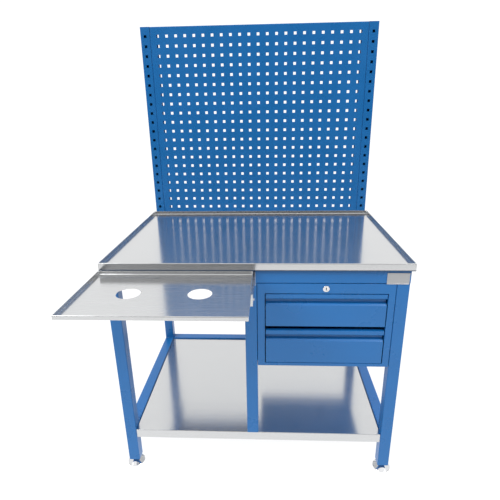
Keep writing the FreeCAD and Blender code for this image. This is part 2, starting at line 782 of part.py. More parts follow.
# --------------------------------------------------------------------------- lock
def make_lock():
    face = cabinet_front
    out = vec(0, -1, 0)
    escutcheon = cylinder(lock_escutcheon_radius, vec(lock_x, face, lock_z), out,
                          lock_escutcheon_proud)
    rim = [edge for edge in escutcheon.Edges
           if abs(edge.CenterOfMass.y - face + lock_escutcheon_proud) < 1e-6]
    escutcheon = escutcheon.makeFillet(lock_escutcheon_proud / 2, rim)
    shank = cylinder(lock_shank_radius, vec(lock_x, face, lock_z), vec(0, 1, 0), lock_shank_length)
    bore = cylinder(lock_barrel_radius + running_gap,
                    vec(lock_x, face - lock_escutcheon_proud, lock_z), vec(0, 1, 0),
                    lock_escutcheon_proud + lock_shank_length)
    save("lock_body", [escutcheon.fuse(shank).removeSplitter().cut(bore)])
    nut_bore = cylinder(lock_shank_radius, vec(lock_x, face, lock_z), vec(0, 1, 0),
                        lock_shank_length)
    nut = hex_prism(lock_nut_flats, vec(0, 0, 0), lock_nut_height)
    nut.rotate(vec(0, 0, 0), vec(1, 0, 0), -90)
    nut.translate(vec(lock_x, face + face_sheet, lock_z))
    save("lock_nut", [nut.cut(nut_bore)])
    barrel_front = face - lock_escutcheon_proud + lock_barrel_recess
    barrel_back = face + lock_shank_length + running_gap + 0.5
    barrel = cylinder(lock_barrel_radius, vec(lock_x, barrel_front, lock_z), vec(0, 1, 0),
                      barrel_back - barrel_front)
    keyway = box(lock_x - keyway_width / 2, lock_x + keyway_width / 2, barrel_front,
                 barrel_front + keyway_depth, lock_z - keyway_height / 2, lock_z + keyway_height / 2)
    save("lock_barrel", [barrel.cut(keyway)])
    cam = box(lock_x, lock_x + cam_length - cam_width / 2, barrel_back, barrel_back + cam_thickness,
              lock_z - cam_width / 2, lock_z + cam_width / 2)
    for centre in (lock_x, lock_x + cam_length - cam_width / 2):
        cam = cam.fuse(cylinder(cam_width / 2, vec(centre, barrel_back, lock_z), vec(0, 1, 0),
                                cam_thickness))
    save("lock_cam", [cam.removeSplitter()])


def make_name_plate():
    x1 = frame_side - plate_right_margin
    z1 = frame_top - plate_top_margin
    x0 = x1 - plate_width
    z0 = z1 - plate_height
    plate = box(x0, x1, frame_front - plate_thickness, frame_front, z0, z1)
    field = box(x0 + plate_border, x1 - plate_border, frame_front - plate_thickness,
                frame_front - plate_thickness + plate_border_depth,
                z0 + plate_border, z1 - plate_border)
    save("name_plate", [plate.cut(field)])


# ------------------------------------------------------------- panel and uprights
def hole_heights():
    return [panel_top - hole_top_margin - row * hole_pitch for row in range(hole_rows)]


def square_hole(x, z, y0, y1):
    half = hole_side / 2
    return box(x - half, x + half, y0, y1, z - half, z + half)


def make_panel():
    half = leg_inner - panel_gap
    t = panel_sheet
    block = box(-half, half, back_y, back_y + panel_depth, panel_bottom, panel_top)
    edges = edges_along(block, 2, [(1, back_y)]) + edges_along(block, 0, [(1, back_y)])
    block = block.makeFillet(panel_bend, edges)
    hollow = box(-half + t, half - t, back_y + t, back_y + panel_depth, panel_bottom + t,
                 panel_top - t)
    for side in (-1, 1):
        reach = sorted((side * (half - t), side * (half - panel_return)))
        hollow = hollow.cut(box(reach[0], reach[1], back_y + panel_depth - t,
                                back_y + panel_depth, panel_bottom, panel_top))
    first = -hole_pitch * (hole_columns - 1) / 2
    holes = [square_hole(first + column * hole_pitch, z, back_y, back_y + t)
             for column in range(hole_columns) for z in hole_heights()]
    panel = block.cut(hollow).cut(Part.makeCompound(holes))
    screws = []
    for side in (-1, 1):
        for z in panel_screw_heights():
            y = back_y + panel_depth / 2
            panel = panel.cut(through_x(y, z, screw_radius + bolt_clearance / 2,
                                        min(side * half, side * (half - t)),
                                        max(side * half, side * (half - t))))
            screws.append(screw(vec(side * (half - t), y, z), vec(-side, 0, 0)))
    save("perforated_panel", [panel])
    return screws


def panel_screw_heights():
    step = (panel_height - 2 * hole_pitch) / 3
    return [panel_bottom + hole_pitch + step * k for k in range(4)]


def make_uprights():
    caps = []
    for name, x0, inner in (("left", -frame_side, -leg_inner), ("right", leg_inner, leg_inner)):
        x1 = x0 + tube
        upright = square_tube(x0, x1, back_y, back_y + upright_depth, upright_bottom, panel_top, 2)
        centre = x0 + tube / 2
        holes = [square_hole(centre, z, back_y, back_y + tube_wall) for z in hole_heights()]
        for z in upright_bolt_heights():
            holes.append(through_y(centre, z, bolt_radius + bolt_clearance, back_y,
                                   back_y + tube_wall))
            holes.append(through_y(centre, z, access_radius, back_y + upright_depth - tube_wall,
                                   back_y + upright_depth))
        for z in panel_screw_heights():
            holes.append(through_x(back_y + panel_depth / 2, z, screw_radius + bolt_clearance / 2,
                                   inner - tube_wall, inner + tube_wall))
        save(name + "_upright", [upright.cut(Part.makeCompound(holes))])
        inset = tube_wall
        caps.append(rounded_block(x0 + inset, x1 - inset, back_y + inset,
                                  back_y + upright_depth - inset, panel_top - cap_thickness,
                                  panel_top, tube_corner - tube_wall / 2, 2))
    save("upright_caps", caps)


# --------------------------------------------------------------------------- main
os.makedirs("parts", exist_ok=True)
make_legs()
make_rails()
make_shelf()
make_risers()
make_carriers()
make_feet()
clip_screws = make_worktop()
make_tray()
make_tray_slides()
make_cabinet()
make_drawer("upper", upper_bottom, upper_top)
make_drawer("lower", lower_bottom, lower_top)
make_lock()
make_name_plate()
panel_screws = make_panel()
save("small_screws", clip_screws + panel_screws)
make_uprights()
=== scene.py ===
import json
import math

import bmesh
import bpy
from bpy.props import FloatProperty, FloatVectorProperty, PointerProperty
from mathutils import Matrix, Vector


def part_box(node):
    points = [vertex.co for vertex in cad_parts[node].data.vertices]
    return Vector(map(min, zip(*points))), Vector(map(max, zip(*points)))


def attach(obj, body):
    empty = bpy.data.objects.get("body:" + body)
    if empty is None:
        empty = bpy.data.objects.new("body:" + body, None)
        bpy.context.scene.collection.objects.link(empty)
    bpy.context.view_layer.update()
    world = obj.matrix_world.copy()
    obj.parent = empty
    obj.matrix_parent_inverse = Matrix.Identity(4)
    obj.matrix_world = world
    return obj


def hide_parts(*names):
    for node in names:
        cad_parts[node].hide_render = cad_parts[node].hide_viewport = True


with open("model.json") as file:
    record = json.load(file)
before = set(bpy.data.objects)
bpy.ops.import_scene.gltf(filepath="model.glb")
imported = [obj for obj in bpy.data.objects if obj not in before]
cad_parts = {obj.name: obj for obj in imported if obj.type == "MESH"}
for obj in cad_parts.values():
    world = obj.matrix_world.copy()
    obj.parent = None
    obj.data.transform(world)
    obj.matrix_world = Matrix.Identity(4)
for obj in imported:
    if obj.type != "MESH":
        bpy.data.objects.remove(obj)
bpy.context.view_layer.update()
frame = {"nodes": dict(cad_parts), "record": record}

bl_info = {
    "name": "Jewellers Bench",
    "version": (1, 0, 0),
    "blender": (4, 5, 0),
    "location": "3D View > Sidebar > Bench",
    "description": "Finishes a steel bench with a pull-out tray, drawers and a tool panel",
    "category": "Object",
}

FRONT = Vector((0, -1, 0))
BACK = Vector((0, 1, 0))
UP = Vector((0, 0, 1))
DOWN = Vector((0, 0, -1))
RIGHT = Vector((1, 0, 0))
LEFT = Vector((-1, 0, 0))

# Sizes of the steel parts that the added details are fitted to, in metres.
TUBE = 0.040                  # side of the frame's square tube
TUBE_CORNER = 0.003           # reach of the tube's rounded edges
SLIDE_SHEET = 0.0012          # thickness of a slide's members
SLIDE_SET_IN = 0.0022         # from an outer member's back to the middle member's back
SLIDE_MIDDLE_WIDE = 0.0087    # how far a middle member reaches from its back
SLIDE_MIDDLE_HALF = 0.0183    # half of a middle member's height
LUG_HEIGHT = 0.006            # height of a middle member's lug, above the slide's centre line
SAME_POINT = 0.00001          # corners nearer than this are one corner

# Angles that step through a quarter turn.
QUARTER = [math.radians(22.5 * part) for part in range(5)]


# ------------------------------------------------------------------ colour and scale
def linear(code):
    """Linear colour of an sRGB hex code."""
    shares = [int(code[at:at + 2], 16) / 255 for at in (0, 2, 4)]
    return [s / 12.92 if s <= 0.04045 else ((s + 0.055) / 1.055) ** 2.4 for s in shares]


def per_metre(size_mm):
    """Pattern scale whose features are this many millimetres across."""
    return 1000.0 / size_mm


class BenchColours(bpy.types.PropertyGroup):
    """Colours of the bench's coatings, metals and board."""

    powder_coat: FloatVectorProperty(
        name="Powder coat", description="Blue coat of frame, cabinet and drawers",
        subtype="COLOR", size=3, min=0, max=1, default=linear("176CB1"))
    # The panel's blue is the frame's blue made darker: painted shade for the dimmer light on the
    # panel.
    panel_coat_painted_shade: FloatVectorProperty(
        name="Panel coat and painted shade", description="Blue coat of the tool panel and its uprights",
        subtype="COLOR", size=3, min=0, max=1, default=linear("1665A5"))
    # The base plate's dark grey-blue is painted shade: it draws the dark line of shade under the
    # worktop's lip.
    base_coat_painted_shade: FloatVectorProperty(
        name="Base plate coat and painted shade", description="Coat of the plate under the worktop",
        subtype="COLOR", size=3, min=0, max=1, default=linear("3A4A60"))
    stainless: FloatVectorProperty(
        name="Stainless steel", description="Sheets of the worktop, the tray and the shelf",
        subtype="COLOR", size=3, min=0, max=1, default=linear("D2D3D4"))
    zinc: FloatVectorProperty(
        name="Zinc plate", description="Telescopic slides and fasteners",
        subtype="COLOR", size=3, min=0, max=1, default=linear("C8CBD0"))
    chrome: FloatVectorProperty(
        name="Polished plate", description="Levelling feet and lock",
        subtype="COLOR", size=3, min=0, max=1, default=linear("DCDDDF"))
    aluminium: FloatVectorProperty(
        name="Aluminium", description="Bare name plate",
        subtype="COLOR", size=3, min=0, max=1, default=linear("BEBFC1"))
    plastic: FloatVectorProperty(
        name="Blue plastic", description="Leg plugs, riser plugs and upright caps",
        subtype="COLOR", size=3, min=0, max=1, default=linear("245F9C"))
    white_plastic: FloatVectorProperty(
        name="White plastic", description="Caps on the tray slides",
        subtype="COLOR", size=3, min=0, max=1, default=linear("E9EAEA"))
    # This black is the colour of the stops, pads and seals, and also paints shade in the keyway
    # and in the slits round the drawers, the cabinet and the tray.
    black_plastic_and_painted_shade: FloatVectorProperty(
        name="Black plastic and painted shade", description="Slide stops, lug pads, seals and keyway's painted shade",
        subtype="COLOR", size=3, min=0, max=1, default=linear("16181C"))
    chip: FloatVectorProperty(
        name="Chipboard", description="Core of the worktop",
        subtype="COLOR", size=3, min=0, max=1, default=linear("B08E62"))
    floor: FloatVectorProperty(
        name="Studio floor", description="Pale floor under the bench",
        subtype="COLOR", size=3, min=0, max=1, default=linear("686868"))


class BenchSizes(bpy.types.PropertyGroup):
    """Sizes of the details added to the bench."""

    weld_leg: FloatProperty(
        name="Frame weld", description="Leg length of the fillet welds between tubes",
        default=0.003, min=0.0005, max=0.01, unit="LENGTH")
    weld_ripple: FloatProperty(
        name="Weld ripple", description="Distance between the ripples of a weld",
        default=0.0022, min=0.0005, max=0.01, unit="LENGTH")
    corner_weld: FloatProperty(
        name="Corner weld", description="Radius of the ground welds in the sheets' corners",
        default=0.0016, min=0.0003, max=0.005, unit="LENGTH")
    ball_pitch: FloatProperty(
        name="Ball pitch", description="Distance between two balls of a slide",
        default=0.011, min=0.004, max=0.05, unit="LENGTH")
    ball_play: FloatProperty(
        name="Ball play", description="Room left between a ball and each slide member",
        default=0.0002, min=0.0, max=0.001, unit="LENGTH")
    cage_length: FloatProperty(
        name="Ball cage", description="Length of a drawer slide's ball cage",
        default=0.2, min=0.02, max=0.25, unit="LENGTH")
    tray_cage_length: FloatProperty(
        name="Tray ball cage", description="Length of a tray slide's ball cage",
        default=0.12, min=0.02, max=0.14, unit="LENGTH")
    fold: FloatProperty(
        name="Sheet fold", description="Radius that folded sheet edges are eased to",
        default=0.0005, min=0.0001, max=0.001, unit="LENGTH")


class StageSettings(bpy.types.PropertyGroup):
    """Floor and light."""

    floor_side: FloatProperty(
        name="Floor side", description="Length of the square floor's sides",
        default=24.0, min=4.0, max=60.0, unit="LENGTH")
    floor_front: FloatProperty(
        name="Floor front", description="How far the floor reaches in front of the bench's middle",
        default=2.8, min=1.0, max=30.0, unit="LENGTH")
    room_light: FloatProperty(
        name="Room light", description="Strength of the white side of the studio",
        default=1.06, min=0.0, max=4.0)
    dim_light: FloatProperty(
        name="Dim side", description="Strength of the studio's dark side, level with the bench",
        default=0.1, min=0.0, max=4.0)
    dim_ceiling: FloatProperty(
        name="Dim ceiling", description="Strength of the studio's dark side, high up",
        default=1.2, min=0.0, max=4.0)
    floor_glow: FloatProperty(
        name="Floor glow", description="Light that the lit floor gives off by itself",
        default=0.94, min=0.0, max=2.0)
    left_power: FloatProperty(
        name="Left soft light", description="Power of the large soft light on the left",
        default=110.0, min=0.0, max=2000.0, unit="POWER")
    right_power: FloatProperty(
        name="Right soft light", description="Power of the large soft light on the right",
        default=88.0, min=0.0, max=2000.0, unit="POWER")


# -------------------------------------------------------------------- material tools
WHITE = (1.0, 1.0, 1.0, 1.0)


def add(tree, kind, inputs=None, **settings):
    """Add a node with its settings; inputs hold values, or the sockets that feed them."""
    node = tree.nodes.new("ShaderNode" + kind)
    for name, value in settings.items():
        setattr(node, name, value)
    for socket, value in (inputs or {}).items():
        if isinstance(value, bpy.types.NodeSocket):
            tree.links.new(value, node.inputs[socket])
        else:
            node.inputs[socket].default_value = value
    return node


def new_material(name):
    """New material, its empty node tree, and the place of each point on the object."""
    material = bpy.data.materials.new(name)
    material.use_nodes = True
    tree = material.node_tree
    tree.nodes.clear()
    return material, tree, add(tree, "TexCoord").outputs["Object"]


def spread(tree, pattern, low, high):
    """Number that varies from low to high where a pattern goes from 0.3 to 0.7."""
    return add(tree, "MapRange", {"Value": pattern, "From Min": 0.3, "From Max": 0.7,
                                  "To Min": low, "To Max": high}).outputs["Result"]


def shades(tree, colour, pattern, low, high):
    """Colour that varies between low and high times its brightness over a pattern."""
    return add(tree, "VectorMath", {0: list(colour), "Scale": spread(tree, pattern, low, high)},
               operation="SCALE").outputs["Vector"]


# ------------------------------------------------------------------------- materials
def powder_coated_steel(name, colour):
    """Polyester powder, sprayed and baked: an even half gloss over a faint orange peel."""
    material, tree, place = new_material(name)
    # The peel's swells are 1 to 2 mm across; they are drawn 4 mm across, so that they show.
    peel = add(tree, "TexNoise", {"Vector": place, "Scale": per_metre(4.0), "Detail": 2.0})
    # The coat's thickness drifts over the 90 mm or so that a spray fan covers.
    cloud = add(tree, "TexNoise", {"Vector": place, "Scale": per_metre(90.0), "Detail": 3.0})
    relief = add(tree, "Bump", {"Height": peel.outputs[0], "Strength": 0.12, "Distance": 0.0002})
    shader = add(tree, "BsdfPrincipled", {
        "Base Color": shades(tree, colour, cloud.outputs[0], 0.97, 1.03),
        "Roughness": spread(tree, cloud.outputs[0], 0.26, 0.33),
        "IOR": 1.5,
        "Normal": relief.outputs["Normal"]})
    add(tree, "OutputMaterial", {"Surface": shader.outputs["BSDF"]})
    return material


def brushed_stainless(name, colour, haze):
    """Stainless sheet, belt-ground along its length: mirrors smear across the scratches, and
    the deepest scratches spread the share of the light that haze gives widely."""
    material, tree, place = new_material(name)
    # Belt scratches are under 0.1 mm wide; they are drawn 1.6 mm wide, so that they show.
    stretched = add(tree, "Mapping", {"Vector": place,
                                      "Scale": (per_metre(160.0), per_metre(1.6), per_metre(1.6))})
    scratches = add(tree, "TexNoise", {"Vector": stretched.outputs["Vector"], "Scale": 1.0,
                                       "Detail": 3.0, "Roughness": 0.6})
    # Passes of the belt leave bands some 14 mm wide.
    wide = add(tree, "Mapping", {"Vector": place,
                                 "Scale": (per_metre(700.0), per_metre(14.0), per_metre(14.0))})
    bands = add(tree, "TexNoise", {"Vector": wide.outputs["Vector"], "Scale": 1.0, "Detail": 2.0})
    # The scratches run along X, in whatever direction the sheet faces.
    facing = add(tree, "NewGeometry").outputs["Normal"]
    across = add(tree, "VectorMath", {0: facing, 1: (1.0, 0.0, 0.0)}, operation="CROSS_PRODUCT")
    grain = add(tree, "VectorMath", {0: across.outputs["Vector"], 1: (0.0, 0.02, 0.0)},
                operation="ADD")
    steel = {"Base Color": shades(tree, colour, scratches.outputs[0], 0.96, 1.04),
             "Metallic": 1.0,
             "Anisotropic": 0.56,
             "Tangent": grain.outputs["Vector"]}
    fine = spread(tree, bands.outputs[0], 0.145, 0.165)
    ground = add(tree, "BsdfPrincipled", {**steel, "Roughness": fine})
    deep = add(tree, "BsdfPrincipled", {**steel, "Roughness": 0.5})
    both = add(tree, "MixShader", {0: spread(tree, scratches.outputs[0], 0.7 * haze, 1.3 * haze),
                                   1: ground.outputs["BSDF"], 2: deep.outputs["BSDF"]})
    add(tree, "OutputMaterial", {"Surface": both.outputs[0]})
    return material


def zinc_plated_steel(name, colour, smooth, rough):
    """Bright zinc plate: a cool, slightly cloudy metal with soft mirrors."""
    material, tree, place = new_material(name)
    # The plating bath leaves cloudy patches about 9 mm across.
    cloud = add(tree, "TexNoise", {"Vector": place, "Scale": per_metre(9.0), "Detail": 4.0})
    relief = add(tree, "Bump", {"Height": cloud.outputs[0], "Strength": 0.05, "Distance": 0.0002})
    shader = add(tree, "BsdfPrincipled", {
        "Base Color": shades(tree, colour, cloud.outputs[0], 0.93, 1.05),
        "Metallic": 1.0,
        "Roughness": spread(tree, cloud.outputs[0], smooth, rough),
        "Normal": relief.outputs["Normal"]})
    add(tree, "OutputMaterial", {"Surface": shader.outputs["BSDF"]})
    return material


def polished_plate(name, colour):
    """Nickel-chrome plate on turned steel: near-sharp mirrors with faint handling haze."""
    material, tree, place = new_material(name)
    # Fingers leave haze in patches about 12 mm across.
    haze = add(tree, "TexNoise", {"Vector": place, "Scale": per_metre(12.0), "Detail": 3.0})
    shader = add(tree, "BsdfPrincipled", {
        "Base Color": shades(tree, colour, haze.outputs[0], 0.98, 1.02),
        "Metallic": 1.0,
        "Roughness": spread(tree, haze.outputs[0], 0.07, 0.14)})
    add(tree, "OutputMaterial", {"Surface": shader.outputs["BSDF"]})
    return material


def anodised_aluminium(name, colour):
    """Rolled and anodised sheet: satin, with fine level grain."""
    material, tree, place = new_material(name)
    # Rolling grain is about 0.1 mm wide; it is drawn 0.6 mm wide, so that it shows.
    stretched = add(tree, "Mapping", {"Vector": place,
                                      "Scale": (per_metre(60.0), per_metre(0.6), per_metre(0.6))})
    grain = add(tree, "TexNoise", {"Vector": stretched.outputs["Vector"], "Scale": 1.0,
                                   "Detail": 2.0})
    relief = add(tree, "Bump", {"Height": grain.outputs[0], "Strength": 0.06, "Distance": 0.0001})
    shader = add(tree, "BsdfPrincipled", {
        "Base Color": shades(tree, colour, grain.outputs[0], 0.95, 1.05),
        "Metallic": 1.0,
        "Roughness": spread(tree, grain.outputs[0], 0.33, 0.42),
        "Normal": relief.outputs["Normal"]})
    add(tree, "OutputMaterial", {"Surface": shader.outputs["BSDF"]})
    return material


def moulded_polyethylene(name, colour):
    """Injection-moulded plastic: dull sheen over a fine spark-eroded texture."""
    material, tree, place = new_material(name)
    # Spark-eroded pits are under 0.1 mm across; they are drawn 0.7 mm across, so that they show.
    pits = add(tree, "TexNoise", {"Vector": place, "Scale": per_metre(0.7), "Detail": 2.0})
    relief = add(tree, "Bump", {"Height": pits.outputs[0], "Strength": 0.15, "Distance": 0.0001})
    shader = add(tree, "BsdfPrincipled", {
        "Base Color": shades(tree, colour, pits.outputs[0], 0.96, 1.04),
        "Roughness": spread(tree, pits.outputs[0], 0.48, 0.58),
        "IOR": 1.5,
        "Normal": relief.outputs["Normal"]})
    add(tree, "OutputMaterial", {"Surface": shader.outputs["BSDF"]})
    return material


def raw_chipboard(name, colour):
    """Pressed wood chips, sawn and unsealed: dull, speckled light and dark."""
    material, tree, place = new_material(name)
    # Chips are about 3 mm across, and the dust between them about 1 mm.
    chips = add(tree, "TexVoronoi", {"Vector": place, "Scale": per_metre(3.0)})
    dust = add(tree, "TexNoise", {"Vector": place, "Scale": per_metre(1.2), "Detail": 4.0})
    tone = add(tree, "SeparateColor", {0: chips.outputs["Color"]})
    relief = add(tree, "Bump", {"Height": dust.outputs[0], "Strength": 0.4, "Distance": 0.0003})
    shader = add(tree, "BsdfPrincipled", {
        "Base Color": shades(tree, colour, tone.outputs[0], 0.7, 1.2),
        "Roughness": spread(tree, dust.outputs[0], 0.78, 0.92),
        "IOR": 1.45,
        "Normal": relief.outputs["Normal"]})
    add(tree, "OutputMaterial", {"Surface": shader.outputs["BSDF"]})
    return material


def matt_studio_floor(name, colour, glow):
    """Matt paint laid with a roller on a lit studio floor: pale, even and without mirrors."""
    material, tree, place = new_material(name)
    # Laps of the roller lie about 400 mm apart.
    roller = add(tree, "TexNoise", {"Vector": place, "Scale": per_metre(400.0), "Detail": 2.0})
    shader = add(tree, "BsdfPrincipled", {
        "Base Color": shades(tree, colour, roller.outputs[0], 0.995, 1.005),
        "Roughness": 0.9,
        "Specular IOR Level": 0.1,
        "Emission Color": WHITE,
        "Emission Strength": glow})
    add(tree, "OutputMaterial", {"Surface": shader.outputs["BSDF"]})
    return material


# --------------------------------------------------------------------- piece tools
def coat(material, names):
    """Give CAD nodes their material."""
    for name in names:
        mesh = frame["nodes"][name].data
        mesh.materials.clear()
        mesh.materials.append(material)


def nodes_with(slot):
    """Names of the CAD nodes that the record lists under a material slot."""
    return [part["node"] for part in frame["record"]["subparts"] if part["material_slot"] == slot]


def ease_folds(names, radius):
    """Round the sharp edges of folded sheet a little, so that they catch the light."""
    for name in names:
        piece = frame["nodes"][name]
        weld = piece.modifiers.new("join_faces", "WELD")
        weld.merge_threshold = SAME_POINT
        bevel = piece.modifiers.new("eased_folds", "BEVEL")
        bevel.width = radius
        bevel.segments = 2
        bevel.limit_method = "ANGLE"
        bevel.angle_limit = math.radians(35)     # keeps the rounded parts as they are
        bevel.harden_normals = True


def new_piece(name, mesh, material, body):
    """Finish a mesh as a piece of the bench that rides on a body."""
    bmesh.ops.recalc_face_normals(mesh, faces=mesh.faces)
    data = bpy.data.meshes.new(name)
    mesh.to_mesh(data)
    mesh.free()
    data.materials.append(material)
    piece = bpy.data.objects.new(name, data)
    bpy.context.scene.collection.objects.link(piece)
    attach(piece, body)
    return piece


def skin_loops(mesh, loops, close_ends=True):
    """Join loops of points into a skin."""
    rings = [[mesh.verts.new(point) for point in loop] for loop in loops]
    count = len(rings[0])
    faces = []
    for first, second in zip(rings, rings[1:]):
        for at in range(count):
            after = (at + 1) % count
            faces.append(mesh.faces.new((first[at], first[after], second[after], second[at])))
    if close_ends:
        faces.append(mesh.faces.new(rings[0][::-1]))
        faces.append(mesh.faces.new(rings[-1]))
    for face in faces:
        face.smooth = True
    return faces


def moulded_block(mesh, low, high, ease):
    """Small moulded block, its long edges eased."""
    loops = []
    for y, inset in ((low.y, ease), (low.y + ease, 0.0), (high.y - ease, 0.0), (high.y, ease)):
        x0, x1, z0, z1 = low.x + inset, high.x - inset, low.z + inset, high.z - inset
        loops.append([Vector(point) for point in (
            (x0 + ease, y, z0), (x1 - ease, y, z0), (x1, y, z0 + ease), (x1, y, z1 - ease),
            (x1 - ease, y, z1), (x0 + ease, y, z1), (x0, y, z1 - ease), (x0, y, z0 + ease))])
    for face in skin_loops(mesh, loops):
        face.smooth = False


def half_box(name, side):
    """Corners of what a node has to the left (-1) or right (1) of its middle."""
    low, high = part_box(name)
    middle = (low.x + high.x) / 2
    points = [v.co for v in frame["nodes"][name].data.vertices if (v.co.x - middle) * side > 0]
    return Vector(map(min, zip(*points))), Vector(map(max, zip(*points)))


def edge_strip(low, high, side, wide):
    """Least and greatest x of a strip this wide at a box's left (-1) or right (1) edge."""
    return (high.x - wide, high.x) if side > 0 else (low.x, low.x + wide)


# --------------------------------------------------------------------------- frame
def weld_bead(mesh, start, end, wall, floor, leg, ripple):
    """Fillet weld between two faces, with the ripples that its passes leave."""
    run = end - start
    steps_in_ripple = 4
    ripple_height = 0.10
    end_thickness = 0.55
    end_slope = 6
    steps = max(2, round(run.length / (ripple / steps_in_ripple)))
    loops = []
    for step in range(steps + 1):
        share = step / steps
        wave = 1 + ripple_height * math.cos(2 * math.pi * share * run.length / ripple)
        taper = min(1.0, end_thickness + end_slope * min(share, 1 - share))
        reach = leg * wave * taper
        root = start + run * share
        loop = [root]
        for angle in QUARTER:
            # The bead's face is flatter than a round one.
            bulge = 0.86 + 0.14 * abs(math.cos(2 * angle))
            loop.append(root + reach * bulge * (math.cos(angle) * wall + math.sin(angle) * floor))
        loops.append(loop)
    skin_loops(mesh, loops)


def seam_along_x(low, high, y, z):
    """Ends of a weld over a tube's end, short of the tube's rounded left and right edges."""
    return Vector((low.x + TUBE_CORNER, y, z)), Vector((high.x - TUBE_CORNER, y, z))


def seam_along_y(low, high, x, z):
    """Ends of a weld over a tube's end, short of the tube's rounded front and back edges."""
    return Vector((x, low.y + TUBE_CORNER, z)), Vector((x, high.y - TUBE_CORNER, z))


def frame_seams():
    """Start, end and the two face directions of each weld between the frame's tubes."""
    seams = []
    low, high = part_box("lower_side_rails")
    for side, wall_x in ((-1, low.x), (1, high.x)):
        inner_x = wall_x - side * (TUBE - TUBE_CORNER)
        outer_x = wall_x - side * TUBE_CORNER
        for y, way in ((low.y, BACK), (high.y, FRONT)):
            for z, up in ((high.z, UP), (low.z, DOWN)):
                seams.append((Vector((inner_x, y, z)), Vector((outer_x, y, z)), way, up))
    low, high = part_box("lower_back_rail")
    for x, way in ((low.x, RIGHT), (high.x, LEFT)):
        for z, up in ((high.z, UP), (low.z, DOWN)):
            seams.append((*seam_along_y(low, high, x, z), way, up))
    for name in ("upper_left_rail", "upper_right_rail"):
        low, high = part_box(name)
        for y, way in ((low.y, BACK), (high.y, FRONT)):
            seams.append((*seam_along_x(low, high, y, low.z), way, DOWN))
    low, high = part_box("upper_back_rail")
    for x, way in ((low.x, RIGHT), (high.x, LEFT)):
        seams.append((*seam_along_y(low, high, x, low.z), way, DOWN))
    low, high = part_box("upper_middle_rail")
    seams.append((*seam_along_x(low, high, low.y, low.z), BACK, DOWN))
    return seams


def riser_plugs(wall, depth):
    """Plugs in the open ends of the front and back riser tubes."""
    front_low, front_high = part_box("front_riser")
    back_low, back_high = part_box("back_riser")
    mesh = bmesh.new()
    for low, high, x0, x1 in ((front_low, front_high, front_high.x - depth, front_high.x),
                              (back_low, back_high, back_high.x - depth, back_high.x),
                              (back_low, back_high, back_low.x, back_low.x + depth)):
        moulded_block(mesh, Vector((x0, low.y + wall, low.z + wall)),
                      Vector((x1, high.y - wall, high.z - wall)), ease=0.0006)
    return mesh


class BENCH_OT_frame(bpy.types.Operator):
    """Powder-coat the tubes, the carriers and the base plate, the plate dark as painted shade,
    weld the frame's joints and plug the risers' ends"""

    bl_idname = "bench.frame"
    bl_label = "Frame"

    def execute(self, context):
        colours = context.scene.bench_colours
        sizes = context.scene.bench_sizes
        blue = powder_coated_steel("powder_coated_steel", colours.powder_coat)
        coat(blue, nodes_with("blue_powder_coat"))
        # Dark coat on the base plate: painted shade under the worktop's lip.
        base = powder_coated_steel("base_plate_painted_shade", colours.base_coat_painted_shade)
        coat(base, nodes_with("dark_blue_paint"))
        mesh = bmesh.new()
        for start, end, way, up in frame_seams():
            weld_bead(mesh, start, end, way, up, sizes.weld_leg, sizes.weld_ripple)
        new_piece("frame_welds", mesh, blue, "bench")
        plastic = moulded_polyethylene("moulded_blue_plugs", colours.plastic)
        new_piece("riser_plugs", riser_plugs(wall=0.0021, depth=0.0015), plastic, "bench")
        return {"FINISHED"}


class BENCH_OT_tool_panel(bpy.types.Operator):
    """Powder-coat the perforated panel and its uprights a darker blue that paints shade, and
    colour the moulded caps and plugs
    """

    bl_idname = "bench.tool_panel"
    bl_label = "Tool panel"

    def execute(self, context):
        colours = context.scene.bench_colours
        # A darker copy of the blue coat on the panel and its uprights: painted shade.
        coat(powder_coated_steel("powder_coated_panel_painted_shade", colours.panel_coat_painted_shade),
             ["perforated_panel", "left_upright", "right_upright"])
        plastic = moulded_polyethylene("moulded_polyethylene", colours.plastic)
        coat(plastic, nodes_with("blue_plastic"))
        return {"FINISHED"}


# ------------------------------------------------------------------------- sheets
def corner_weld(mesh, x, y, way_x, way_y, low, high, radius):
    """Ground weld up the inner corner of a raised rim."""
    loops = []
    for z in (low, high):
        root = Vector((x, y, z))
        loops.append([root] + [
            root + radius * Vector((way_x * math.cos(angle), way_y * math.sin(angle), 0))
            for angle in QUARTER])
    skin_loops(mesh, loops)


def rim_welds(name, rim, depth, radius):
    """Welds in the four inner corners of a sheet's rim, ground down a little below its top."""
    low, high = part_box(name)
    bottom = high.z - depth
    top = high.z - 0.0008
    mesh = bmesh.new()
    for x, way_x in ((low.x + rim, 1), (high.x - rim, -1)):
        for y, way_y in ((low.y + rim, 1), (high.y - rim, -1)):
            corner_weld(mesh, x, y, way_x, way_y, bottom, top, radius)
    return mesh


def tray_seal(depth, play):
    """Rubber strip under the worktop's front edge that nearly touches the tray's rim; its black
    also paints the shade in the slit over the tray.
    """
    base_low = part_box("worktop_base_plate")[0]
    tray_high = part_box("tray_deck")[1]
    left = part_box("worktop_skin")[0].x + 0.003
    top = base_low.z - 0.00005
    mesh = bmesh.new()
    moulded_block(mesh, Vector((left, base_low.y, tray_high.z + play)),
                  Vector((tray_high.x, base_low.y + depth, top)), ease=0.0001)
    return mesh


def tray_buffer(thick):
    """Rubber strip on the tray's back edge, which meets the seal when the tray is out."""
    low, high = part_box("tray_deck")
    left, right = low.x + 0.003, high.x - 0.002
    bottom, top = low.z + 0.001, high.z - 0.0001
    mesh = bmesh.new()
    moulded_block(mesh, Vector((left, high.y, bottom)), Vector((right, high.y + thick, top)),
                  ease=0.0001)
    return mesh


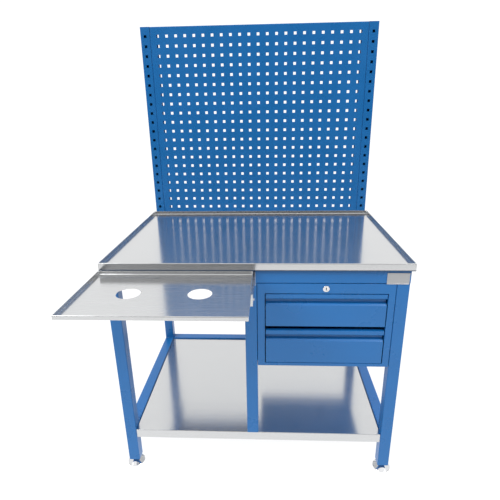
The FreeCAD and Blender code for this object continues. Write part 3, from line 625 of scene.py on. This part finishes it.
class BENCH_OT_sheets(bpy.types.Operator):
    """Brush the stainless worktop, tray and shelf, weld the corners of their rims and seal the
    slit over the tray in black that also paints its shade"""

    bl_idname = "bench.sheets"
    bl_label = "Stainless sheets"

    def execute(self, context):
        colours = context.scene.bench_colours
        radius = context.scene.bench_sizes.corner_weld
        coat(brushed_stainless("brushed_stainless", colours.stainless, haze=0.11),
             ["worktop_skin", "shelf_pan"])
        coat(brushed_stainless("coarse_brushed_stainless", colours.stainless, haze=0.22),
             ["tray_deck"])
        ground = polished_plate("ground_stainless_weld", colours.stainless)
        new_piece("worktop_corner_welds",
                  rim_welds("worktop_skin", rim=0.004, depth=0.013, radius=radius), ground,
                  "bench")
        new_piece("tray_corner_welds",
                  rim_welds("tray_deck", rim=0.0028, depth=0.0108, radius=radius), ground,
                  "tray")
        # Black rubber over the tray: the seal's black also paints the shade in the slit.
        rubber = moulded_polyethylene("black_rubber_and_painted_shade", colours.black_plastic_and_painted_shade)
        new_piece("tray_seal", tray_seal(depth=0.006, play=0.0001), rubber, "bench")
        new_piece("tray_buffer", tray_buffer(thick=0.0012), rubber, "tray")
        coat(raw_chipboard("raw_chipboard", colours.chip), nodes_with("board_core"))
        return {"FINISHED"}


# --------------------------------------------------------------- cabinet and drawers
def cabinet_seals():
    """Foam strips that fill the slits between the cabinet and the frame beside it; their black
    also paints the shade in the slits.
    """
    face_low, face_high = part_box("cabinet_face_frame")
    post_low, post_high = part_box("middle_post")
    leg_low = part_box("front_right_leg")[0]
    play = 0.0001
    end_play = 0.001
    front = post_low.y + 0.026
    back = front + 0.010
    mesh = bmesh.new()
    for x0, x1 in ((post_high.x, face_low.x), (face_high.x, leg_low.x)):
        moulded_block(mesh, Vector((x0 + play, front, face_low.z + end_play)),
                      Vector((x1 - play, back, face_high.z - end_play)), ease=0.0003)
    return mesh


class BENCH_OT_cabinet(bpy.types.Operator):
    """Ease the folds of the drawer cabinet and the drawers, and seal the cabinet's sides with foam
    that also paints shade
    """

    bl_idname = "bench.cabinet"
    bl_label = "Cabinet and drawers"

    def execute(self, context):
        # Black foam in the slits: also painted shade.
        foam = moulded_polyethylene("black_foam_and_painted_shade", context.scene.bench_colours.black_plastic_and_painted_shade)
        new_piece("cabinet_seals", cabinet_seals(), foam, "bench")
        ease_folds(["cabinet_face_frame", "upper_drawer_front", "lower_drawer_front"],
                   context.scene.bench_sizes.fold)
        return {"FINISHED"}


# --------------------------------------------------------------------------- slides
def ball_row(mesh, x, z, y0, y1, radius, pitch):
    """Cage strip along Y, narrower at its two ends, with balls standing through it."""
    half_width = radius * 1.5
    half_sheet = radius * 0.22
    end_taper = 0.002
    end_room = 0.004
    loops = []
    for y, inset in ((y0, 0.0006), (y0 + end_taper, 0.0), (y1 - end_taper, 0.0), (y1, 0.0006)):
        wide = half_width - inset
        loops.append([Vector((x + sx * wide, y, z + sz * half_sheet))
                      for sx, sz in ((-1, -1), (1, -1), (1, 1), (-1, 1))])
    for face in skin_loops(mesh, loops):
        face.smooth = False
    count = int((y1 - y0 - 2 * end_room) / pitch) + 1
    first = (y0 + y1 - (count - 1) * pitch) / 2
    for at in range(count):
        place = Matrix.Translation((x, first + at * pitch, z))
        ball = bmesh.ops.create_uvsphere(mesh, u_segments=12, v_segments=8, radius=radius,
                                         matrix=place)
        for vert in ball["verts"]:
            for face in vert.link_faces:
                face.smooth = True


def slide_cages(prefix, length, pitch, play):
    """Ball cages of a pair of slides; they ride with the middle members."""
    end_room = 0.004
    mesh = bmesh.new()
    for side in (-1, 1):
        outer_low, outer_high = half_box(prefix + "_slide_outers", side)
        middle_low, middle_high = half_box(prefix + "_slide_middles", side)
        inner_low, inner_high = half_box(prefix + "_slide_inners", side)
        # The middle member's box also holds its lug, which stands out on the fixed side.
        if side > 0:
            near, far = middle_low.x, outer_high.x - SLIDE_SET_IN
        else:
            near, far = outer_low.x + SLIDE_SET_IN, middle_high.x
        centre = (outer_low.z + outer_high.z) / 2
        front = middle_low.y + end_room
        back = middle_high.y - end_room
        # Balls run between the outer and middle members, and between the middle and inner ones.
        rows = (
            (outer_low, outer_high, outer_high.z - centre - SLIDE_SHEET, SLIDE_MIDDLE_HALF,
             back - length, back),
            (inner_low, inner_high, SLIDE_MIDDLE_HALF - SLIDE_SHEET, inner_high.z - centre,
             front, front + length))
        for low, high, reach, half, y0, y1 in rows:
            x = (max(low.x, near) + min(high.x, far)) / 2
            radius = (reach - half) / 2 - play
            for way in (-1, 1):
                ball_row(mesh, x, centre + way * (reach + half) / 2, y0, y1, radius, pitch)
    return mesh


def tray_slide_caps():
    """White end caps that close the fronts of the tray slides' middle members."""
    proud = 0.0012
    depth = 0.0024
    mesh = bmesh.new()
    for side in (-1, 1):
        low, high = half_box("tray_slide_middles", side)
        inner_low, inner_high = half_box("tray_slide_inners", side)
        centre = (inner_low.z + inner_high.z) / 2
        # The lug stands out on the fixed side, so the member is measured from the other.
        x0, x1 = edge_strip(low, high, -side, SLIDE_MIDDLE_WIDE)
        moulded_block(mesh, Vector((x0, low.y - proud, centre - SLIDE_MIDDLE_HALF)),
                      Vector((x1, low.y + depth, centre + SLIDE_MIDDLE_HALF)), ease=0.0005)
    return mesh


def drawer_slide_stops(prefix):
    """Black stops on the front ends of the drawer slides' outer members; their black also paints
    the shade in the slits between the drawer fronts.
    """
    thick = 0.0018
    length = 0.0055
    lug_play = 0.0005
    mesh = bmesh.new()
    for side in (-1, 1):
        low, high = half_box(prefix + "_slide_outers", side)
        x0, x1 = edge_strip(low, high, side, thick)
        centre = (low.z + high.z) / 2
        # The middle member's lug passes between the two halves of a stop.
        for z0, z1 in ((low.z, centre - lug_play), (centre + LUG_HEIGHT + lug_play, high.z)):
            moulded_block(mesh, Vector((x0, low.y - length, z0)), Vector((x1, low.y, z1)),
                          ease=0.0003)
    return mesh


def lug_pads(prefix):
    """Black pads on the front faces of the drawer slides' lugs; their black also paints the shade
    in the slits between the drawer fronts.
    """
    wide = 0.0032
    thick = 0.0008
    mesh = bmesh.new()
    for side in (-1, 1):
        low, high = half_box(prefix + "_slide_middles", side)
        x0, x1 = edge_strip(low, high, side, wide)
        centre = (low.z + high.z) / 2
        moulded_block(mesh, Vector((x0, low.y - thick, centre)),
                      Vector((x1, low.y, centre + LUG_HEIGHT)), ease=0.0002)
    return mesh


class BENCH_OT_slides(bpy.types.Operator):
    """Plate the telescopic slides, fill them with caged balls, cap and stop their ends, and pad
    their lugs; the black stops and pads also paint the shade in the drawer slits"""

    bl_idname = "bench.slides"
    bl_label = "Telescopic slides"

    def execute(self, context):
        sizes = context.scene.bench_sizes
        colours = context.scene.bench_colours
        zinc = zinc_plated_steel("bright_zinc_slides", colours.zinc, smooth=0.24, rough=0.34)
        coat(zinc, nodes_with("zinc_slides"))
        balls = polished_plate("polished_bearing_steel", colours.chrome)
        for prefix, body, length in (("tray", "tray_slide_middle", sizes.tray_cage_length),
                                     ("upper_drawer", "upper_slide_middle", sizes.cage_length),
                                     ("lower_drawer", "lower_slide_middle", sizes.cage_length)):
            mesh = slide_cages(prefix, length, sizes.ball_pitch, sizes.ball_play)
            new_piece(prefix + "_ball_cages", mesh, balls, body)
        white = moulded_polyethylene("moulded_white_nylon", colours.white_plastic)
        new_piece("tray_slide_caps", tray_slide_caps(), white, "tray_slide_middle")
        # The stops and pads are slide parts whose black also paints the shade seen through the
        # drawer slits.
        black = moulded_polyethylene("black_nylon_and_painted_shade", colours.black_plastic_and_painted_shade)
        for prefix, body in (("upper_drawer", "upper_slide_middle"),
                             ("lower_drawer", "lower_slide_middle")):
            new_piece(prefix + "_slide_stops", drawer_slide_stops(prefix), black, "bench")
            new_piece(prefix + "_lug_pads", lug_pads(prefix), black, body)
        return {"FINISHED"}


# ------------------------------------------------------- lock, feet and small parts
def nickel_chrome(colour):
    """Plate that the lock and the feet share, made at its first use."""
    made = bpy.data.materials.get("nickel_chrome_plate")
    return made or polished_plate("nickel_chrome_plate", colour)


def keyway_painted_shade(below_face, depth):
    """Dark insert that stands in the barrel's keyway, just below its face: painted shade that
    darkens the slot.
    """
    low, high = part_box("lock_barrel")
    centre = (low + high) / 2
    outline = (
        (-0.0012, -0.0045), (0.0012, -0.0045), (0.0012, -0.0016), (0.0008, -0.0010),
        (0.0008, 0.0012), (0.0012, 0.0018), (0.0012, 0.0045), (-0.0012, 0.0045),
        (-0.0012, 0.0006), (-0.0008, 0.0), (-0.0008, -0.0020), (-0.0012, -0.0026))
    mesh = bmesh.new()
    skin_loops(mesh, [[Vector((centre.x + x, y, centre.z + z)) for x, z in outline]
                      for y in (low.y + below_face, low.y + depth)])
    return mesh


class BENCH_OT_lock(bpy.types.Operator):
    """Polish the lock's body and barrel, and darken its keyway with an insert of painted shade"""

    bl_idname = "bench.lock"
    bl_label = "Lock"

    def execute(self, context):
        colours = context.scene.bench_colours
        coat(nickel_chrome(colours.chrome), ["lock_body", "lock_barrel"])
        # Dark insert in the keyway: painted shade.
        dark = moulded_polyethylene("painted_shade_in_keyway", colours.black_plastic_and_painted_shade)
        new_piece("keyway_painted_shade", keyway_painted_shade(below_face=0.0001, depth=0.0008), dark,
                  "lock_cylinder")
        return {"FINISHED"}


class BENCH_OT_feet(bpy.types.Operator):
    """Polish the levelling feet"""

    bl_idname = "bench.feet"
    bl_label = "Levelling feet"

    def execute(self, context):
        coat(nickel_chrome(context.scene.bench_colours.chrome),
             [name for name in nodes_with("polished_steel") if name.startswith("foot_")])
        return {"FINISHED"}


# Screws and bolts, in metres; a socket is measured across its flats.
BUTTON_HEAD = 0.0025          # height of a button head
BUTTON_SOCKET = 0.003
BUTTON_SHANK = 0.0025         # radius
CAP_HEAD = 0.006              # height of a cap screw's head
CAP_SOCKET = 0.006
CAP_SHANK = 0.004             # radius
WASHER_BORE = 0.0042          # radius
THICKEST_WASHER = 0.005


def islands(name):
    """Corners of each separate solid of a node, from its mesh."""
    mesh = bmesh.new()
    mesh.from_mesh(frame["nodes"][name].data)
    bmesh.ops.remove_doubles(mesh, verts=mesh.verts, dist=SAME_POINT)
    left = set(mesh.verts)
    found = []
    while left:
        open_verts = [left.pop()]
        group = []
        while open_verts:
            vert = open_verts.pop()
            group.append(vert.co.copy())
            for edge in vert.link_edges:
                other = edge.other_vert(vert)
                if other in left:
                    left.remove(other)
                    open_verts.append(other)
        found.append(group)
    mesh.free()
    return found


def turned_loop(place, radius, height, across=0.0):
    """Loop of 24 points round the Z axis of place: a circle, or a hexagon across its flats."""
    loop = []
    for at in range(24):
        angle = math.radians(15 * at)
        reach = radius
        if across:
            part = (angle + math.pi / 6) % (math.pi / 3) - math.pi / 6
            reach = across / 2 / math.cos(part)
        loop.append(place @ Vector((reach * math.cos(angle), reach * math.sin(angle), height)))
    return loop


def button_head(mesh, place, radius, height, socket, shank_radius, shank_length):
    """Screw with a domed head, a hexagon socket and a plain shank, head up."""
    mouth = socket * 0.62     # just outside the socket's corners
    tip_radius = shank_radius * 0.8
    tip_length = 0.0006
    loops = [turned_loop(place, tip_radius, -shank_length),
             turned_loop(place, shank_radius, -shank_length + tip_length),
             turned_loop(place, shank_radius, 0.0),
             turned_loop(place, radius, 0.0)]
    for part in range(1, 6):
        angle = math.radians(18 * part)
        loops.append(turned_loop(place, mouth + (radius - mouth) * math.cos(angle),
                                 height * math.sin(angle)))
    loops.append(turned_loop(place, 0.0, height * 0.98, socket))     # mouth of the socket
    loops.append(turned_loop(place, 0.0, height * 0.35, socket))     # its floor
    skin_loops(mesh, loops)


def socket_head(mesh, place, radius, height, socket, shank_radius, shank_length):
    """Cap screw with a straight head, an eased edge and a hexagon socket, head up."""
    tip_radius = shank_radius * 0.85
    tip_length = 0.001
    eased = 0.0006
    loops = [turned_loop(place, tip_radius, -shank_length),
             turned_loop(place, shank_radius, -shank_length + tip_length),
             turned_loop(place, shank_radius, 0.0),
             turned_loop(place, radius, 0.0),
             turned_loop(place, radius, height - eased),
             turned_loop(place, radius - eased, height),
             turned_loop(place, 0.0, height, socket),              # mouth of the socket
             turned_loop(place, 0.0, height * 0.45, socket)]       # its floor
    skin_loops(mesh, loops)


def plain_washer(mesh, place, radius, bore, thickness):
    """Flat ring that lies on the plane of place."""
    loops = [turned_loop(place, bore, 0.0), turned_loop(place, radius, 0.0),
             turned_loop(place, radius, thickness), turned_loop(place, bore, thickness),
             turned_loop(place, bore, 0.0)]
    skin_loops(mesh, loops, close_ends=False)


def seat_of(points):
    """Length, radius, middle, direction of the head and turn of a screw or washer."""
    out_of_round = 0.0005
    end_slice = 0.0003
    low = Vector(map(min, zip(*points)))
    high = Vector(map(max, zip(*points)))
    middle = (low + high) / 2
    axis = max(range(3), key=lambda at: high[at] - low[at])
    sides = [at for at in range(3) if at != axis]
    # A washer is shorter than it is wide, so its axis is the short one.
    if abs((high[sides[0]] - low[sides[0]]) - (high[sides[1]] - low[sides[1]])) > out_of_round:
        axis = min(range(3), key=lambda at: high[at] - low[at])
        sides = [at for at in range(3) if at != axis]
    radius = (high[sides[0]] - low[sides[0]]) / 2
    reach = [max(max(abs(p[side] - middle[side]) for side in sides) for p in points
                 if abs(p[axis] - end[axis]) < end_slice) for end in (low, high)]
    way = Vector((0, 0, 0))
    way[axis] = 1.0 if reach[1] >= reach[0] else -1.0
    turn = UP.rotation_difference(way).to_matrix().to_4x4()
    return high[axis] - low[axis], radius, middle, way, turn


class BENCH_OT_fasteners(bpy.types.Operator):
    """Replace the plain screws and bolts by socket screws, and plate the small parts"""

    bl_idname = "bench.fasteners"
    bl_label = "Fasteners"

    def execute(self, context):
        zinc = zinc_plated_steel("zinc_plated_fasteners", context.scene.bench_colours.zinc,
                                 smooth=0.30, rough=0.42)
        coat(zinc, nodes_with("zinc_fasteners"))
        screws = bmesh.new()
        for points in islands("small_screws"):
            length, radius, middle, way, turn = seat_of(points)
            seat = middle + way * (length / 2 - BUTTON_HEAD)
            button_head(screws, Matrix.Translation(seat) @ turn, radius, BUTTON_HEAD,
                        BUTTON_SOCKET, BUTTON_SHANK, length - BUTTON_HEAD)
        piece = new_piece("button_head_screws", screws, zinc, "bench")
        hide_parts("small_screws")
        bolts = bmesh.new()
        for points in islands("cabinet_and_upright_bolts"):
            length, radius, middle, way, turn = seat_of(points)
            if length < THICKEST_WASHER:
                seat = middle - way * length / 2
                plain_washer(bolts, Matrix.Translation(seat) @ turn, radius, WASHER_BORE, length)
            else:
                seat = middle + way * (length / 2 - CAP_HEAD)
                socket_head(bolts, Matrix.Translation(seat) @ turn, radius, CAP_HEAD,
                            CAP_SOCKET, CAP_SHANK, length - CAP_HEAD)
        piece = new_piece("cap_screws_and_washers", bolts, zinc, "bench")
        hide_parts("cabinet_and_upright_bolts")
        return {"FINISHED"}


def pressed_rim(low, high, wide, proud):
    """Raised rim with sloping sides round the edge of a plate that faces the front."""
    edge = 0.0002     # leaves the plate's own edge showing round the rim
    slope = 0.0005
    mesh = bmesh.new()
    loops = []
    for inset, out in ((edge, 0.0), (slope, proud), (wide - slope, proud), (wide, 0.0)):
        loops.append([Vector((x, low.y - out, z)) for x, z in (
            (low.x + inset, low.z + inset), (high.x - inset, low.z + inset),
            (high.x - inset, high.z - inset), (low.x + inset, high.z - inset))])
    for face in skin_loops(mesh, loops + [loops[0]], close_ends=False):
        face.smooth = False
    bmesh.ops.remove_doubles(mesh, verts=mesh.verts, dist=SAME_POINT)
    return mesh


class BENCH_OT_name_plate(bpy.types.Operator):
    """Anodise the bare name plate and press a rim round its edge"""

    bl_idname = "bench.name_plate"
    bl_label = "Name plate"

    def execute(self, context):
        metal = anodised_aluminium("anodised_aluminium", context.scene.bench_colours.aluminium)
        coat(metal, nodes_with("plate_aluminium"))
        low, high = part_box("name_plate")
        new_piece("name_plate_rim", pressed_rim(low, high, wide=0.0022, proud=0.0004), metal,
                  "bench")
        return {"FINISHED"}


# --------------------------------------------------------------------------- stage
BACKDROP_LIGHT = 1.1
LIGHT_PLACE = (2.97, -2.08, 3.73)      # the right light's; the left one mirrors it
LIGHT_TARGET = (0.0, 0.0, 0.9)
LIGHT_SIDE = 2.2
CAMERA_PLACE = (0.047, -1.4147, 1.2938)
CAMERA_TURN = (-0.0500, -0.3342, -0.0163)      # yaw, pitch and roll in radians
CAMERA_LENS = 29.66                            # millimetres, over a 36 mm sensor


def studio_world(room, dim, ceiling):
    """White studio that turns dark in front of the bench, more so near the floor."""
    world = bpy.data.worlds.new("soft_studio")
    world.use_nodes = True
    tree = world.node_tree
    tree.nodes.clear()
    direction = add(tree, "SeparateXYZ", {0: add(tree, "TexCoord").outputs["Generated"]})
    front = add(tree, "MapRange", {"Value": direction.outputs["Z"], "From Min": 0.3,
                                   "From Max": 0.8, "To Min": dim, "To Max": ceiling},
                interpolation_type="SMOOTHSTEP")
    depth = add(tree, "MapRange", {"Value": direction.outputs["Y"], "From Min": -0.30,
                                   "From Max": 0.25, "To Min": front.outputs["Result"],
                                   "To Max": room}, interpolation_type="SMOOTHSTEP")
    walls = add(tree, "Background", {"Color": WHITE, "Strength": depth.outputs["Result"]})
    backdrop = add(tree, "Background", {"Color": WHITE, "Strength": BACKDROP_LIGHT})
    seen = add(tree, "LightPath").outputs["Is Camera Ray"]
    mixed = add(tree, "MixShader", {0: seen, 1: walls.outputs[0], 2: backdrop.outputs[0]})
    add(tree, "OutputWorld", {"Surface": mixed.outputs[0]})
    bpy.context.scene.world = world


def soft_light(name, place, target, side, power):
    """Square soft light that faces a target."""
    lamp = bpy.data.lights.new(name, "AREA")
    lamp.shape = "SQUARE"
    lamp.size = side
    lamp.energy = power
    holder = bpy.data.objects.new(name, lamp)
    holder.location = place
    holder.rotation_euler = (Vector(target) - Vector(place)).to_track_quat("-Z", "Y").to_euler()
    bpy.context.scene.collection.objects.link(holder)


def camera_at(place, yaw, pitch, roll, lens):
    """Camera that looks along +Y, turned by yaw, pitch and roll in radians."""
    forward = Vector((math.sin(yaw) * math.cos(pitch), math.cos(yaw) * math.cos(pitch),
                      math.sin(pitch)))
    level = Vector((math.cos(yaw), -math.sin(yaw), 0))
    above = level.cross(forward)
    right = math.cos(roll) * level + math.sin(roll) * above
    up = math.cos(roll) * above - math.sin(roll) * level
    data = bpy.data.cameras.new("front_camera")
    data.lens = lens
    data.sensor_width = 36.0
    data.clip_end = 100.0
    holder = bpy.data.objects.new("front_camera", data)
    turn = Matrix((right, up, -forward)).transposed().to_4x4()
    holder.matrix_world = Matrix.Translation(place) @ turn
    bpy.context.scene.collection.objects.link(holder)
    bpy.context.scene.camera = holder


class BENCH_OT_stage(bpy.types.Operator):
    """Lay the pale floor, and set the studio light and the camera"""

    bl_idname = "bench.stage"
    bl_label = "Stage"

    def execute(self, context):
        stage = context.scene.bench_stage
        half = stage.floor_side / 2
        below_feet = 0.0005
        mesh = bmesh.new()
        bmesh.ops.create_grid(mesh, x_segments=8, y_segments=8, size=half)
        data = bpy.data.meshes.new("studio_floor")
        mesh.to_mesh(data)
        mesh.free()
        data.materials.append(matt_studio_floor("matt_studio_floor",
                                                context.scene.bench_colours.floor,
                                                stage.floor_glow))
        floor = bpy.data.objects.new("studio_floor", data)
        floor.location = (0, half - stage.floor_front, -below_feet)
        context.scene.collection.objects.link(floor)
        studio_world(stage.room_light, stage.dim_light, stage.dim_ceiling)
        x, y, z = LIGHT_PLACE
        soft_light("left_soft_light", (-x, y, z), LIGHT_TARGET, LIGHT_SIDE, stage.left_power)
        soft_light("right_soft_light", (x, y, z), LIGHT_TARGET, LIGHT_SIDE, stage.right_power)
        camera_at(CAMERA_PLACE, *CAMERA_TURN, CAMERA_LENS)
        context.scene.view_settings.view_transform = "Standard"
        return {"FINISHED"}


# --------------------------------------------------------------------------- add-on
STEPS = (BENCH_OT_frame, BENCH_OT_tool_panel, BENCH_OT_sheets, BENCH_OT_cabinet, BENCH_OT_slides,
         BENCH_OT_lock, BENCH_OT_feet, BENCH_OT_fasteners, BENCH_OT_name_plate, BENCH_OT_stage)


class BENCH_PT_panel(bpy.types.Panel):
    """Lists the steps that finish the bench"""

    bl_idname = "BENCH_PT_panel"
    bl_label = "Jewellers Bench"
    bl_space_type = "VIEW_3D"
    bl_region_type = "UI"
    bl_category = "Bench"

    def draw(self, context):
        for step in STEPS:
            self.layout.operator(step.bl_idname)
        for group in (context.scene.bench_colours, context.scene.bench_sizes,
                      context.scene.bench_stage):
            for name in group.bl_rna.properties.keys():
                if name not in ("rna_type", "name"):
                    self.layout.prop(group, name)


CLASSES = (BenchColours, BenchSizes, StageSettings, *STEPS, BENCH_PT_panel)


def register():
    for cls in CLASSES:
        bpy.utils.register_class(cls)
    bpy.types.Scene.bench_colours = PointerProperty(type=BenchColours)
    bpy.types.Scene.bench_sizes = PointerProperty(type=BenchSizes)
    bpy.types.Scene.bench_stage = PointerProperty(type=StageSettings)


def unregister():
    del bpy.types.Scene.bench_stage
    del bpy.types.Scene.bench_sizes
    del bpy.types.Scene.bench_colours
    for cls in reversed(CLASSES):
        bpy.utils.unregister_class(cls)


def main():
    register()
    bpy.ops.bench.frame()
    bpy.ops.bench.tool_panel()
    bpy.ops.bench.sheets()
    bpy.ops.bench.cabinet()
    bpy.ops.bench.slides()
    bpy.ops.bench.lock()
    bpy.ops.bench.feet()
    bpy.ops.bench.fasteners()
    bpy.ops.bench.name_plate()
    bpy.ops.bench.stage()


if __name__ == "__main__":
    main()
